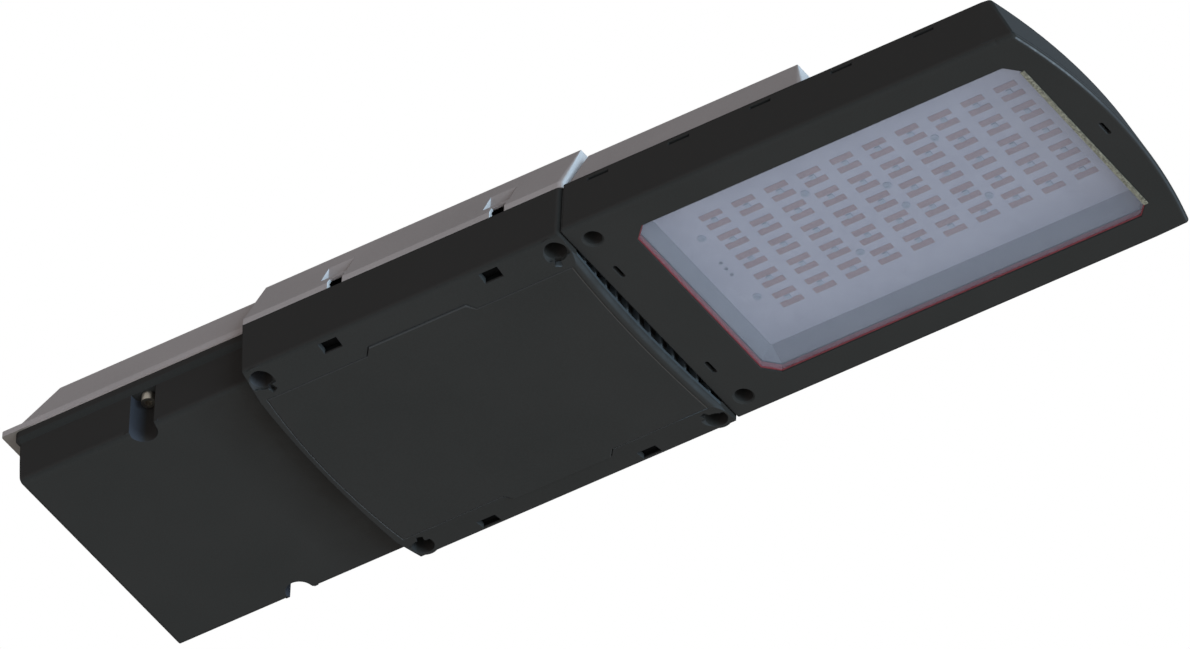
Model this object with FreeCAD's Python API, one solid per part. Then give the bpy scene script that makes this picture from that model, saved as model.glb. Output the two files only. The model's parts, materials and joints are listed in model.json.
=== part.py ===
import FreeCAD, Part

import math
import os

# Head of a modular LED street light: pole adapter, driver compartment and LED module in one line.
# X runs from the pole to the nose, Z is up and the light leaves downwards.
# The origin is the middle of the pole socket's mouth, on the axis of the pole's arm.
# Heights are counted from the underside of the LED module.

V = FreeCAD.Vector

# Overall
body_width = 210.0
side_height = 41.5
axis_height = 40.0
wall = 3.5
seam = 0.3
side_lean = 0.45  # how far a cover's side leans in for each millimetre of rise
cover_wall = 2.5
through = 1.0  # how far a cutting body reaches past a face

# Pole adapter
rear_length = 187.0
rear_width = 187.0
rear_wall = 4.0
rear_fold = 4.5
rear_corner = 1.5
lip_out = 3.1
lip_height = 38.0
lip_top = 43.5
rear_cover_top = 84.8
rear_rim_top = 48.2
visor = 12.0
visor_side = 4.5
rear_slope = 17.0
rear_draft = 2.2  # the rear wall's foot stands further in than its top

# Pole socket and its clamp
spigot_radius = 30.0
socket_play = 0.5
cradle_length = 112.0
cradle_half = 37.0
saddle_length = 45.0
saddle_start = 20.0
strap = 4.0
clamp_gap = 5.0
ear_thickness = 5.0
ear_reach = 20.0
clamp_bolt = 8.0
clamp_bolt_head = 13.0
clamp_bolt_head_height = 5.3
bolt_clearance = 2.0
washer_thickness = 1.6
clamp_boss = 16.0

# Side channels of the adapter with their screws
channel_at = 99.0
channel_width = 19.6
channel_depth = 12.3
channel_top = 35.0
channel_wall = 3.0
rear_screw = 6.0
rear_screw_head = 9.8
rear_screw_head_height = 6.5
rear_screw_hold = 9.6  # how far the screw reaches into the cover
screw_head_gap = 1.0

# Driver compartment
driver_length = 250.1
driver_lean = 1.6  # the compartment's rear face leans back by this much up to its rim
keel = 7.0  # how far the access plate lies below the module's underside
rim_drop = 1.5
plate_from_side = 26.0
plate_jog = 6.0
plate_jog_half = 38.0
plate_thickness = 3.0
plate_groove = 0.4
plate_bevel = 0.5
plate_ledge = 8.0
gasket_thickness = 1.0
floor = 3.5
rear_bulge = 6.3
plate_rear = -2.9  # the plate's rear corners, from the compartment's rear face
plate_rear_bow = 5.9
plate_front = 6.7  # the plate's front corners, from the compartment's front face
plate_front_bow = 3.1
driver_cover_top = 88.8
driver_rim = 5.3
cover_corner = 4.2
cover_peak = 0.6  # rounding of a cover's corners at its top
bottom_fold = 4.0  # rounding along the compartment's lower edges

# Bowed front of the compartment, with a row of vents that looks into the gap before the module
vent_bow = 3.6
front_round = 4.4
vent_from_side = 21.0
vent_top = 36.0
vent_row_low = -0.6
vent_row_high = 14.0
vent_row_depth = 5.0
vent_count = 13
vent_pitch = 13.2
fin_thickness = 1.7

# Wells for the compartment's corner screws
well_rear = 8.0
well_front = 10.0
well_from_side = 11.0
well_radius = 7.6
well_bevel = 1.2
well_top = 20.5
well_wall = 3.0
key_width = 4.6
key_reach = 11.6
key_top = -1.2
key_turn = 22.0
cover_screw = 6.0
cover_screw_head = 10.0
cover_screw_head_height = 6.0
cover_screw_length = 32.0
hex_part = 0.8  # a socket's width across flats, as a part of the screw's diameter

# Windows with latches
window_length = 14.3
window_width = 8.4
window_at_x = 63.4
window_from_side = 7.8
window_shift = 3.3
latch_thickness = 4.0
latch_rest = 3.0

# Clip pockets in the driver cover, each with a notch in the rim below it
pocket_at_x = 64.0
pocket_shift = 6.5
pocket_length = 20.5
pocket_lip = 54.6
pocket_floor = 62.2
pocket_back = 11.8  # from the body's side to the pocket's upright back
notch_shift = 10.0
notch_length = 11.7
notch_depth = 6.8
notch_top = 51.5

# Joints between the three segments
joint_gap = 1.2
joint_screw = 6.0
joint_screw_head = 10.0
joint_screw_length = 22.0
joint_at_y = 66.0
joint_heights = (14.0, 32.0)
joint_seal_inset = 2.0
gland_radius = 10.0
gland_collar = 13.0
gland_height = 24.0
gland_dome = 14.0
gland_nut = 5.0
gland_bevel = 3.0
tube_radius = 5.2
tube_wall = 1.5

# LED module
module_length = 352.6
module_corner = 1.5
module_fold = 4.0  # rounding along the module's lower edges
nose_fold = 2.4
nose_groove = 0.7
nose_groove_height = 3.7
nose_bulge = 15.0
nose_top_bulge = 13.7
nose_rake = 20.1
nose_tuck = 0.8
crease_from_corner = 26.6  # from the nose's corner back to where its sides begin to draw in
module_cover_top = 79.0
module_cover_start = 4.0
module_cover_lean = 2.4
module_cover_end = 186.0
module_cover_rake = 0.42
cover_inset = 1.0
slot_start = 19.2
slot_pitch = 63.4
slot_length = 16.4
slot_height = 2.5
slot_under_rim = 3.0
slot_count = 5
drain_length = 12.0
drain_width = 3.2
drain_at_x = 11.2
drain_at_y = 53.6
drain_from_nose = 13.6
module_well_x = 14.1
module_well_from_side = 16.9
module_well_radius = 6.2
module_well_depth = 22.0

# Lens, gasket, baffle and board in their pocket
lens_x0 = 38.2
lens_from_corner = 14.0  # from the nose's corner back to the pocket's end
lens_from_side = 23.0
lens_cut = 10.0
lens_setback = 2.0
lens_thickness = 4.0
gasket_width = 0.8
gasket_setback = 1.2
board_height = 22.0
board_thickness = 1.6
baffle_mouth = 1.8
baffle_inset_x = 5.0
baffle_inset_y = 6.3
baffle_cut = 0.4
press_gap = 0.03
strip_width = 3.3
strip_from_end = 9.0
strip_overlap = 1.0
strip_thickness = 0.8

# LEDs
led_columns = 10
led_rows = 5
led_from_end = 30.9
led_pitch_y = 21.5
led_start = 78.2
led_size = 3.6
led_height = 1.0
pad_length = 16.3
pad_width = 5.0
pad_gap = 4.7
pad_thickness = 0.3
board_screw_places = ((61.0, 32.5), (141.7, 32.5), (191.7, 11.0), (242.5, 32.0))
board_screw = 3.0
board_screw_head = 5.6
board_screw_rise = 0.8
wire_pad_x = 58.5
wire_pad_pitch = 6.5
wire_pad_radius = 1.3

# Cooling fins of the module
cooling_fins = 13
cooling_from_side = 33.0
cooling_thickness = 2.4
cooling_top = 39.0
block_roof = 4.4

# What the driver compartment holds
driver_from_rear = 37.0
driver_from_front = 45.1
driver_width = 66.0
driver_height = 34.0
driver_at_y = -28.0
surge_size = (52.0, 34.0, 26.0)
surge_from_rear = 51.0
surge_at_y = 40.0
terminal_size = (60.0, 24.0, 20.0)
terminal_from_rear = 135.0
terminal_at_y = 42.0
terminal_ways = 5
case_rounding = 2.5
tab_length = 9.0
tab_thickness = 2.0
tab_screw = 4.0
tab_screw_head = 7.0

# Stations along the lamp
driver_x0 = rear_length
driver_x1 = driver_x0 + driver_length
driver_mid = (driver_x0 + driver_x1) / 2
module_x0 = driver_x1 + joint_gap
socket_radius = spigot_radius + socket_play
half_width = body_width / 2
half_rear = rear_width / 2
plate_half = half_width - plate_from_side
vent_half = half_width - vent_from_side
lens_half = half_width - lens_from_side
lens_x1 = module_length - lens_from_corner
led_pitch_x = (lens_x1 - led_from_end - led_start) / (led_columns - 1)
cooling_pitch = 2 * (half_width - cooling_from_side) / (cooling_fins - 1)


def up(height):
    return height - axis_height


def box(x0, x1, y0, y1, low, high):
    return Part.makeBox(x1 - x0, y1 - y0, high - low, V(x0, y0, up(low)))


def rod(x, y, low, high, radius):
    return Part.makeCylinder(radius, high - low, V(x, y, up(low)))


def rod_along(x0, x1, y, height, radius):
    return Part.makeCylinder(radius, x1 - x0, V(x0, y, up(height)), V(1, 0, 0))


def hex_along(x0, x1, y, height, across):
    corners = [V(x0, y + across / math.sqrt(3) * math.cos(math.radians(60 * k)),
                 up(height) + across / math.sqrt(3) * math.sin(math.radians(60 * k))) for k in range(7)]
    return Part.Face(Part.makePolygon(corners)).extrude(V(x1 - x0, 0, 0))


def both_sides(shape):
    return [shape, shape.mirror(V(0, 0, 0), V(0, 1, 0))]


def turned(shape):
    # the same shape on the other side, turned half round about the compartment's middle
    return shape.rotated(V(driver_mid, 0, 0), V(0, 0, 1), 180)


def join(first, *rest):
    return first.multiFuse([shape for shape in rest]).removeSplitter()


def plan_wire(corners, height):
    # closed outline at one height from (x, y, rounding) corners
    z = up(height)
    bends = []
    for i, (x, y, rounding) in enumerate(corners):
        here = V(x, y, z)
        back = V(corners[i - 1][0], corners[i - 1][1], z) - here
        onward = V(corners[(i + 1) % len(corners)][0], corners[(i + 1) % len(corners)][1], z) - here
        back.normalize()
        onward.normalize()
        half_angle = back.getAngle(onward) / 2
        reach = rounding / math.tan(half_angle)
        inward = back + onward
        if rounding:
            inward.normalize()
        middle = here + inward * (rounding / math.sin(half_angle) - rounding)
        bends.append((here + back * reach, middle, here + onward * reach))
    edges = []
    for i, (start, middle, end) in enumerate(bends):
        if corners[i][2]:
            edges.append(Part.Arc(start, middle, end).toShape())
        edges.append(Part.makeLine(end, bends[(i + 1) % len(bends)][0]))
    return Part.Wire(edges)


def slab(corners, low, high):
    return Part.Face(plan_wire(corners, low)).extrude(V(0, 0, high - low))


def taper(low_wire, high_wire):
    return Part.makeLoft([low_wire, high_wire], True, True)


def rectangle(x0, x1, half, rear_round=0, front_round=0):
    near = [(x0, -half, rear_round), (x1, -half, front_round)]
    far = [(x1, half, front_round), (x0, half, rear_round)]
    return near + far


def bowed_end(x, from_y, to_y, bow, height):
    # one end of an outline across the lamp, straight or bowed along X
    start, end = V(x, from_y, up(height)), V(x, to_y, up(height))
    if bow:
        return Part.Arc(start, V(x + bow, (from_y + to_y) / 2, up(height)), end).toShape()
    return Part.makeLine(start, end)


def bowed_wire(x0, x1, half, bow0, bow1, height):
    # rectangle whose two ends bow by bow0 and bow1 along X
    z = up(height)
    return Part.Wire([
        Part.makeLine(V(x0, -half, z), V(x1, -half, z)), bowed_end(x1, -half, half, bow1, height),
        Part.makeLine(V(x1, half, z), V(x0, half, z)), bowed_end(x0, half, -half, bow0, height)])


def edges_along_x(shape, y, height, tolerance=0.01):
    # the straight edges that run along X at this place
    def lies_there(point):
        return abs(abs(point.y) - y) < tolerance and abs(point.z - up(height)) < tolerance

    return [edge for edge in shape.Edges
            if all(lies_there(vertex.Point) for vertex in edge.Vertexes) and edge.BoundBox.XLength > wall]


def leaning_face(gap):
    # everything before the compartment's rear face, which leans back above the module's underside
    foot, head = driver_x0 - gap, driver_x0 - gap - driver_lean
    above = 2 * driver_cover_top
    corners = [(foot, 0), (head, side_height), (head, above), (driver_x1, above), (driver_x1, 0)]
    points = [V(x, -body_width, up(height)) for x, height in corners]
    return Part.Face(Part.makePolygon(points + points[:1])).extrude(V(0, 2 * body_width, 0))


# Pole adapter


def rear_plan(grow):
    return rectangle(-grow, driver_x0 - seam, half_rear + grow, rear_corner + grow)


def channel(grow, low, high):
    # half-round channel in one side of the adapter
    depth = channel_depth + grow
    radius = channel_width / 2 + grow
    centre_y = -half_rear + depth - radius
    shaft = rod(channel_at, centre_y, low, high, radius)
    outside = -half_rear - (0 if grow else lip_out + through)
    mouth = box(channel_at - radius, channel_at + radius, outside, centre_y, low, high)
    return shaft.fuse(mouth)


def make_rear_housing():
    shell = slab(rear_plan(0), 0, lip_top)
    shell = shell.makeFillet(rear_fold, edges_along_x(shell, half_rear, 0))
    lip_slope = taper(plan_wire(rear_plan(0), lip_foot), plan_wire(rear_plan(lip_out), lip_height))
    shell = join(shell, lip_slope, slab(rear_plan(lip_out), lip_height, lip_top))
    inner, inner_end = half_rear - rear_wall, driver_x0 - seam - rear_wall
    shell = shell.cut(box(rear_wall, inner_end, -inner, inner, rear_wall, lip_top + through))
    cradle = box(rear_wall, cradle_length, -cradle_half, cradle_half, rear_wall, axis_height)
    stop_top = axis_height / 2
    stop = box(cradle_length, cradle_length + rear_wall, -cradle_half, cradle_half, rear_wall, stop_top)
    bosses = both_sides(rod(saddle_middle, clamp_bolt_y, rear_wall, boss_top, clamp_boss / 2))
    linings = both_sides(channel(channel_wall, rear_wall / 2, lip_top).common(slab(rear_plan(0), 0, lip_top)))
    shell = join(shell, cradle, stop, *bosses, *linings)
    bolt_hole = clamp_bolt / 2 + seam / 2
    bolt_holes = both_sides(rod(saddle_middle, clamp_bolt_y, rear_wall, boss_top + through, bolt_hole))
    channels = both_sides(channel(0, -through, channel_top))
    screw_holes = both_sides(rod(channel_at, screw_y, channel_top - through, lip_top + through,
                                 rear_screw / 2 + seam / 2))
    cuts = bolt_holes + channels + screw_holes
    cuts.append(rod_along(-through - lip_out, cradle_length, 0, axis_height, socket_radius))
    cuts += joint_holes(driver_x0 - seam - rear_wall - through, driver_x0)
    cuts.append(rod_along(driver_x0 - 2 * rear_wall, driver_x0, 0, gland_height, gland_radius + seam))
    cuts.append(leaning_face(seam))
    cuts.append(rear_wall_draft())
    return shell.cut(cuts)


def rear_wall_draft():
    # wedge before the adapter's rear wall
    foot = rear_draft * (1 + through / lip_foot)
    corners = [(-through, -through), (foot, -through), (0, lip_foot), (-through, lip_foot)]
    points = [V(x, -rear_width, up(height)) for x, height in corners]
    return Part.Face(Part.makePolygon(points + points[:1])).extrude(V(0, 2 * rear_width, 0))


def rear_cover_plans(inset):
    # the raised part of the cover, at its foot and at its top
    rise = rear_cover_top - rear_rim_top
    half = half_rear + visor_side - inset
    foot = rectangle(lip_out + inset, driver_x0 - seam - inset, half, rear_corner)
    head_start = lip_out + rear_slope + inset
    head = rectangle(head_start, driver_x0 - seam - inset, half - side_lean * rise, rear_corner)
    return foot, head


def make_rear_cover():
    foot, head = rear_cover_plans(0)
    raised = taper(plan_wire(foot, rear_rim_top), plan_wire(head, rear_cover_top))
    rim_plan = rectangle(-visor, driver_x0 - seam, half_rear + visor_side, rear_corner)
    cover = join(slab(rim_plan, lip_top, rear_rim_top), raised)
    foot, head = rear_cover_plans(cover_wall)
    inner_head = plan_wire(head, rear_cover_top - cover_wall)
    hollow = taper(plan_wire(foot, rear_rim_top - through / 2), inner_head)
    rim_end = driver_x0 - seam - cover_wall
    inner_rim = rectangle(rear_wall + cover_wall, rim_end, half_rear - rear_wall, rear_corner)
    cover = cover.cut([hollow, slab(inner_rim, lip_top - through, rear_rim_top)])
    posts = [post.common(join(raised, slab(rim_plan, lip_top, rear_rim_top)))
             for post in both_sides(rod(channel_at, screw_y, lip_top, lip_top + 2 * rear_screw, rear_screw))]
    cover = join(cover, *posts)
    mouth = rod_along(-visor - through, 2 * rear_slope, 0, axis_height, socket_radius + seam)
    tap = rear_screw / 2 + seam / 2
    tapped = both_sides(rod(channel_at, screw_y, lip_top - through, screw_tip + seam, tap))
    return cover.cut([mouth, leaning_face(seam)] + tapped)


def make_rear_cover_screws():
    low = channel_top - rear_screw_head_height
    head = rod(channel_at, screw_y, low, channel_top, rear_screw_head / 2)
    head = head.cut(hex_socket(channel_at, screw_y, low, rear_screw_head_height / 2, rear_screw * hex_part))
    return both_sides(head.fuse(rod(channel_at, screw_y, channel_top, screw_tip, rear_screw / 2)))


def hex_socket(x, y, low, depth, across):
    corners = [V(x + across / math.sqrt(3) * math.cos(math.radians(60 * k)),
                 y + across / math.sqrt(3) * math.sin(math.radians(60 * k)), up(low)) for k in range(7)]
    return Part.Face(Part.makePolygon(corners)).extrude(V(0, 0, depth))


def make_clamp_saddle():
    x0, x1 = saddle_middle - saddle_length / 2, saddle_middle + saddle_length / 2
    outer = socket_radius + strap
    ring = rod_along(x0, x1, 0, axis_height, outer)
    half_ring = ring.common(box(x0, x1, -outer, outer, ear_low, axis_height + outer))
    ear_end = outer + ear_reach - strap
    ears = box(x0, x1, -ear_end, ear_end, ear_low, ear_low + ear_thickness)
    saddle = half_ring.fuse(ears)
    holes = both_sides(rod(saddle_middle, clamp_bolt_y, ear_low - through, ear_low + ear_thickness + through,
                           clamp_bolt / 2 + seam / 2))
    saddle = saddle.cut([rod_along(x0 - through, x1 + through, 0, axis_height, socket_radius)] + holes)
    return saddle.removeSplitter()


def make_clamp_bolts():
    low = ear_low + ear_thickness + washer_thickness
    head = Part.Face(Part.makePolygon([
        V(saddle_middle + hex_radius * math.cos(math.radians(60 * k)),
          clamp_bolt_y + hex_radius * math.sin(math.radians(60 * k)), up(low)) for k in range(7)]))
    head = head.extrude(V(0, 0, clamp_bolt_head_height))
    shank = rod(saddle_middle, clamp_bolt_y, rear_wall + bolt_clearance, low, clamp_bolt / 2)
    return both_sides(head.fuse(shank))


def make_clamp_washers():
    low = ear_low + ear_thickness
    washer = rod(saddle_middle, clamp_bolt_y, low, low + washer_thickness, clamp_bolt)
    bore = rod(saddle_middle, clamp_bolt_y, low - through, low + washer_thickness + through,
               clamp_bolt / 2 + seam / 2)
    return both_sides(washer.cut(bore))


def joint_places():
    return [(side * joint_at_y, height) for side in (-1, 1) for height in joint_heights]


def joint_holes(x0, x1):
    return [rod_along(x0, x1, y, height, joint_screw / 2 + seam / 2) for y, height in joint_places()]


def make_joint_screws():
    face = driver_x0 - seam - rear_wall
    screws = []
    for y, height in joint_places():
        head = rod_along(face - joint_screw, face, y, height, joint_screw_head / 2)
        screws.append(head.fuse(rod_along(face, face + joint_screw_length, y, height, joint_screw / 2)))
    return screws


# Driver compartment


def driver_section(x0, x1, inset, low_extra=0):
    # prism of the compartment's cross-section, drawn in by inset
    half = half_width - inset
    bottom = -keel + inset + low_extra
    points = [(-half, side_height + (through if inset else 0)), (-half, -rim_drop + inset),
              (-plate_half + inset, bottom), (plate_half - inset, bottom), (half, -rim_drop + inset),
              (half, side_height + (through if inset else 0))]
    corners = [V(x0, y, up(height)) for y, height in points]
    return Part.Face(Part.makePolygon(corners + corners[:1])).extrude(V(x1 - x0, 0, 0))


def plate_wire(grow, height):
    # the access plate's outline, a bowed rectangle with a jog out between the windows
    return bowed_wire(driver_x0 - plate_rear - grow, driver_x1 - plate_front + grow, plate_half + grow,
                      -plate_rear_bow, -plate_front_bow, height)


def plate_body(grow, low, high):
    # the plate's body, or with some growth its seat
    body = Part.Face(plate_wire(grow, low)).extrude(V(0, 0, high - low))
    jog = [(driver_mid - plate_jog_half - plate_jog - grow, 0, 0), (driver_mid - plate_jog_half - grow, 1, 0),
           (driver_mid + plate_jog_half + grow, 1, 0), (driver_mid + plate_jog_half + plate_jog + grow, 0, 0)]
    edge = plate_half + grow
    jogs = []
    for side in (-1, 1):
        outline = [(x, side * (edge - through + out * (plate_jog + through)), 0) for x, out, r in jog]
        jogs.append(slab(outline, low, high))
    return join(body, *jogs)


def well_places():
    y = half_width - well_from_side
    return [(x, side * y) for x in (driver_x0 + well_rear, driver_x1 - well_front) for side in (-1, 1)]


def bottom_height(y):
    # height of the compartment's outer face at this place across the lamp
    beyond_plate = max(0, abs(y) - plate_half)
    return -keel + (keel - rim_drop) * beyond_plate / (half_width - plate_half)


def bevelled_bore(x, y, face, top, radius, bevel):
    # blind bore that opens downwards with a bevelled mouth
    mouth = Part.makeCone(radius + bevel + through, radius, bevel + through, V(x, y, up(face - through)))
    return rod(x, y, face - keel, top, radius).fuse(mouth)


def key_slot(x, y):
    # keyway from a well towards the middle of the plate
    slot = box(x - key_width / 2, x + key_width / 2, y, y + key_reach, -keel - through, key_top)
    turn = key_turn if x < driver_mid else -key_turn
    if y > 0:
        turn = 180 - turn
    return slot.rotated(V(x, y, 0), V(0, 0, 1), -turn)


def windows(low, high, grow=0):
    x = driver_mid - window_at_x + window_shift
    y = window_from_side - half_width
    outer, inner = y - window_width / 2 - grow, y + window_width / 2 + grow
    reach = window_length / 2 + grow
    near = [box(x + step - reach, x + step + reach, outer, inner, low, high) for step in (0, 2 * window_at_x)]
    return near + [turned(shape) for shape in near]


def front_hollow():
    # what the bowed front lacks before the compartment's front plane, with the rounding below it
    radius = (vent_half ** 2 + vent_bow ** 2) / (2 * vent_bow)
    centre = V(driver_x1 - vent_bow + radius, 0, 0)
    front, ahead = driver_x1 - vent_bow, driver_x1 + 2 * wall
    foot, under = up(-keel), up(-2 * keel)
    bend = front - front_round * (1 - math.sin(math.radians(45)))
    profile = Part.Wire([
        Part.makeLine(V(ahead, 0, up(vent_top)), V(front, 0, up(vent_top))),
        Part.makeLine(V(front, 0, up(vent_top)), V(front, 0, foot + front_round)),
        Part.Arc(V(front, 0, foot + front_round), V(bend, 0, foot + front - bend),
                 V(front - front_round, 0, foot)).toShape(),
        Part.makeLine(V(front - front_round, 0, foot), V(front - front_round, 0, under)),
        Part.makeLine(V(front - front_round, 0, under), V(ahead, 0, under)),
        Part.makeLine(V(ahead, 0, under), V(ahead, 0, up(vent_top)))])
    half_turn = math.degrees(math.asin((half_width + wall) / radius))
    start = Part.Face(profile).rotated(centre, V(0, 0, 1), -half_turn)
    return start.revolve(centre, V(0, 0, 1), 2 * half_turn)


def vents():
    # pockets in the bowed front, with a fin left standing between each two
    pockets = []
    for k in range(vent_count):
        y = (k - (vent_count - 1) / 2) * vent_pitch
        half = (vent_pitch - fin_thickness) / 2
        pockets.append(box(driver_x1 - vent_bow - vent_row_depth, driver_x1 + through, y - half, y + half,
                           vent_row_low, vent_row_high))
    return pockets


def make_driver_housing():
    shell = driver_section(driver_x0, driver_x1, 0)
    shell = shell.makeFillet(bottom_fold, edges_along_x(shell, half_width, -rim_drop))
    shell = shell.cut(front_hollow())
    tongue = driver_section(driver_x0 - rear_bulge - through, driver_x0 + wall, 0)
    bulge = Part.Face(bowed_wire(driver_x0, driver_x0 + wall, half_width - wall, -rear_bulge, 0, -keel))
    tongue = tongue.common(bulge.extrude(V(0, 0, keel - seam)))
    wedge = [V(x, -half_width, up(height)) for x, height in (
        (driver_x0, 0), (driver_x0 - driver_lean, side_height), (driver_x0, side_height), (driver_x0, 0))]
    wedge = Part.Face(Part.makePolygon(wedge)).extrude(V(0, body_width, 0))
    rounded = rectangle(driver_x0 - 2 * rear_bulge, driver_x1, half_width, 0, cover_corner)
    shell = join(shell, tongue, wedge).common(slab(rounded, -2 * keel, side_height))
    cavity = driver_section(driver_x0 + wall, driver_x1 - vent_wall, wall, plate_thickness)
    shell = shell.cut(cavity)
    wells = [rod(x, y, -rim_drop, side_height, well_radius + well_wall) for x, y in well_places()]
    inside = driver_section(driver_x0 + wall / 2, driver_x1 - vent_wall / 2, 0)
    shell = join(shell, *[well.common(inside) for well in wells])
    cuts = [plate_body(plate_groove, -keel - through, plate_seat)]
    cuts.append(slab(plate_opening(), -keel - through, 2 * floor))
    for x, y in well_places():
        cuts.append(bevelled_bore(x, y, bottom_height(y), well_top, well_radius, well_bevel))
        cuts.append(key_slot(x, y))
        cuts.append(rod(x, y, 0, side_height + through, cover_screw / 2 + seam / 2))
    cuts += windows(-keel - through, floor)
    cuts += vents()
    behind = driver_x0 - driver_lean - through
    cuts += joint_holes(behind, driver_x0 + 2 * wall)
    cuts.append(rod_along(behind, driver_x0 + 2 * wall, 0, gland_height, gland_radius + seam))
    cuts.append(rod_along(driver_x1 - 2 * vent_wall, driver_x1 + through, 0, tube_height, tube_radius + seam))
    return shell.cut(cuts)


def plate_opening():
    inset = plate_ledge
    return rectangle(driver_x0 + wall + inset, driver_x1 - vent_wall - inset, plate_half - inset, wall, wall)


def driver_cover_wires(inset, foot_height, head_height):
    # foot and head outlines of the raised part, drawn in by inset
    lean = side_lean * (head_height - foot_height)
    half = half_width - inset
    x1 = driver_x1 + joint_gap / 2 - inset
    foot = plan_wire(rectangle(driver_x0 - driver_lean + inset, x1, half, 0, cover_corner), foot_height)
    head = plan_wire(rectangle(driver_x0 + driver_lean + inset, x1, half - lean, 0, cover_peak), head_height)
    return foot, head


def pocket_prism(grow):
    # a finger pocket in the near side of the cover: upright back over a floor that rises inwards
    x = driver_mid - pocket_at_x + pocket_shift - pocket_length / 2
    lip_in = side_lean * (pocket_lip - side_height - driver_rim)
    rise = (pocket_floor - pocket_lip) / (pocket_back - lip_in)
    outside, back = -half_width - pocket_back, pocket_back - half_width + grow
    top = driver_cover_top - cover_wall
    floor_out = pocket_floor - 2 * pocket_back * rise - grow
    floor_in = pocket_floor + grow * rise - grow
    profile = [(outside, floor_out), (back, floor_in), (back, top), (outside, top)]
    points = [V(x - grow, y, up(height)) for y, height in profile]
    return Part.Face(Part.makePolygon(points + points[:1])).extrude(V(pocket_length + 2 * grow, 0, 0))


def notch_box():
    # opening in the rim below a pocket
    x = driver_mid - pocket_at_x + notch_shift - notch_length / 2
    outside, inside = -half_width - through, notch_depth - half_width
    return box(x, x + notch_length, outside, inside, side_height - through, notch_top)


def four_places(shape):
    # two along the near side and the same pair turned half round
    pair = [shape, shape.translated(V(2 * pocket_at_x, 0, 0))]
    return pair + [turned(one) for one in pair]


def make_driver_cover():
    rim_top = side_height + driver_rim
    foot, head = driver_cover_wires(0, rim_top, driver_cover_top)
    rim_foot = driver_cover_wires(0, side_height, side_height)[0]
    outer = join(taper(foot, head), Part.Face(rim_foot).extrude(V(0, 0, driver_rim)))
    foot, head = driver_cover_wires(cover_wall, rim_top, driver_cover_top - cover_wall)
    inner_rim = rectangle(driver_x0 + wall, driver_x1 - wall, half_width - wall)
    shell = outer.cut([taper(foot, head), slab(inner_rim, side_height - through, rim_top)])
    linings = [body.common(outer) for body in four_places(pocket_prism(cover_wall))]
    post_radius = well_radius + well_wall
    posts = [rod(x, y, side_height, screw_post_top, post_radius).common(outer) for x, y in well_places()]
    shell = join(shell, *linings, *posts)
    holes = [rod(x, y, side_height - through, well_screw_tip + seam, cover_screw / 2 + seam / 2)
             for x, y in well_places()]
    return shell.cut(four_places(pocket_prism(0)) + four_places(notch_box()) + holes)


def make_access_plate():
    plate = plate_body(0, -keel, plate_top)
    outline = [edge for edge in plate.Edges if edge.BoundBox.ZMax < up(-keel) + through / 10]
    return plate.makeChamfer(plate_bevel, outline)


def make_plate_gasket():
    x0, x1 = driver_x0 + wall, driver_x1 - vent_wall - wall
    outer = slab(rectangle(x0, x1, plate_half - gasket_thickness, wall, wall), plate_top, plate_seat)
    inner = slab(plate_opening(), plate_top - through, plate_seat + through)
    return outer.cut(inner)


def make_plate_latches():
    # each latch lies over its window, on the floor round it
    low = wall - rim_drop
    return [rest.common(driver_section(driver_x0, driver_x1, wall, plate_thickness))
            for rest in windows(low, low + latch_thickness, latch_rest)]


def make_cover_screws():
    screws = []
    low = well_top - cover_screw_head_height
    for x, y in well_places():
        head = rod(x, y, low, low + cover_screw_head_height, cover_screw_head / 2)
        head = head.cut(hex_socket(x, y, low, cover_screw_head_height / 2, cover_screw * hex_part))
        screws.append(head.fuse(rod(x, y, low + cover_screw_head_height, well_screw_tip, cover_screw / 2)))
    return screws


def cased_block(size, place, rounding):
    # block with two fixing tabs, standing on the access plate
    length, width, height = size
    x, y = place
    low = plate_top
    block = box(x - length / 2, x + length / 2, y - width / 2, y + width / 2, low, low + height)
    upright = [edge for edge in block.Edges if edge.BoundBox.ZLength > height / 2]
    block = block.makeFillet(rounding, upright)
    tabs = box(x - length / 2 - tab_length, x + length / 2 + tab_length, y - width / 6, y + width / 6, low,
               low + tab_thickness)
    holes = [rod(hole_x, y, low - through, low + tab_thickness + through, tab_screw / 2 + seam / 2)
             for hole_x in tab_places(size, place)]
    return join(block, tabs).cut(holes)


def tab_places(size, place):
    reach = size[0] / 2 + tab_length / 2
    return [place[0] - reach, place[0] + reach]


def make_fixing_screws():
    screws = []
    for size, place in ((driver_size, driver_at), (surge_size, surge_at), (terminal_size, terminal_at)):
        for x in tab_places(size, place):
            low = plate_top + tab_thickness
            head = rod(x, place[1], low, low + tab_thickness, tab_screw_head / 2)
            screws.append(head.fuse(rod(x, place[1], plate_top, low, tab_screw / 2)))
    return screws


def make_terminal_block():
    length, width, height = terminal_size
    block = cased_block(terminal_size, terminal_at, case_rounding / 2)
    x, y = terminal_at
    pitch = length / terminal_ways
    wells = []
    for k in range(terminal_ways):
        way_x = x - length / 2 + pitch * (k + 0.5)
        wells.append(rod(way_x, y, plate_top + height / 2, plate_top + height + through, pitch / 4))
        for start in (y - width / 2 - through, y + width / 4):
            wells.append(box(way_x - pitch / 4, way_x + pitch / 4, start, start + width / 4 + through,
                             plate_top + height / 2, plate_top + height + through))
    return block.cut(wells)


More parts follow.
